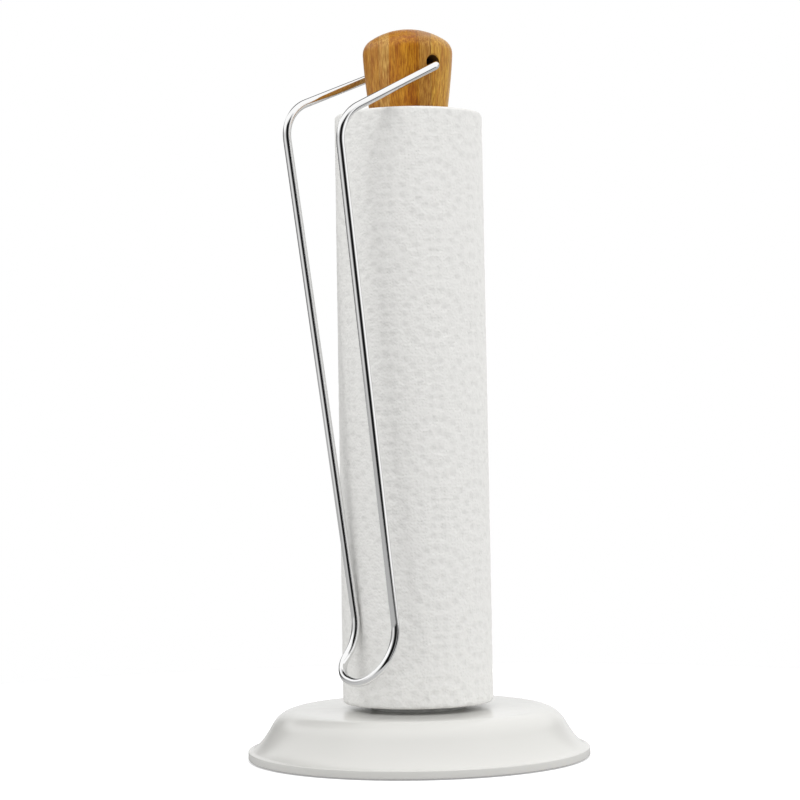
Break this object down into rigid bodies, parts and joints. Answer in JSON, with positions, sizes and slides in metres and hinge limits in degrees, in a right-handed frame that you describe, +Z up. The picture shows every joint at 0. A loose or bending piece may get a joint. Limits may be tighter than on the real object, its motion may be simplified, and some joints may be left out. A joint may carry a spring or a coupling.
{
  "type": "paper towel holder",
  "caption": "Free-standing paper towel holder: weighted round base, spindle with a loaded roll, turned wooden knob and a swinging wire arm that rests on the roll.",
  "frame": {"origin": "centre of the footprint, on the surface the holder stands on", "axes": "+Z up along the spindle, the wire arm hangs towards -X, the knob's cross bore runs along Y"},
  "size_m": [0.1628, 0.1628, 0.3475],
  "materials": {
    "base_enamel": "glossy white powder coat",
    "cast_iron": "as cast, black dipped",
    "black_plastic": "fine moulded grain",
    "zinc_steel": "zinc plated",
    "pad_rubber": "matt grey",
    "white_plastic": "satin white",
    "chrome": "polished chrome plate",
    "card": "spiral wound grey-brown card",
    "paper": "embossed white tissue",
    "bamboo": "laminated bamboo, satin lacquer",
    "brass": "machined",
    "washer_rubber": "matt black"
  },
  "bodies": {
    "base": {"base_shell": "base_enamel", "ballast_weight": "cast_iron", "bottom_cover": "black_plastic", "cover_screw_1": "zinc_steel", "cover_screw_2": "zinc_steel", "cover_screw_3": "zinc_steel", "cover_screw_4": "zinc_steel", "foot_pad_1": "pad_rubber", "foot_pad_2": "pad_rubber", "foot_pad_3": "pad_rubber", "foot_pad_4": "pad_rubber", "roll_rest": "white_plastic", "spindle_tube": "chrome", "spindle_bottom_plug": "zinc_steel", "spindle_top_plug": "zinc_steel", "tie_bolt": "zinc_steel", "tie_washer": "zinc_steel"},
    "roll": {"card_core": "card", "paper_roll": "paper"},
    "knob": {"knob": "bamboo", "knob_insert": "brass", "knob_stud": "zinc_steel", "knob_washer": "washer_rubber"},
    "arm": {"swing_arm": "chrome"}
  },
  "joints": [
    {"name": "roll_spin", "type": "hinge", "parent": "base", "child": "roll", "pos_m": [0, 0, 0.0262], "axis": [0, 0, 1], "continuous": true},
    {"name": "knob_lift", "type": "slide", "parent": "base", "child": "knob", "axis": [0, 0, 1], "range_m": [0, 0.07]},
    {"name": "arm_swing", "type": "hinge", "parent": "knob", "child": "arm", "pos_m": [0, 0, 0.3286], "axis": [0, 0.999, 0.0447], "range_deg": [0, 225]}
  ]
}
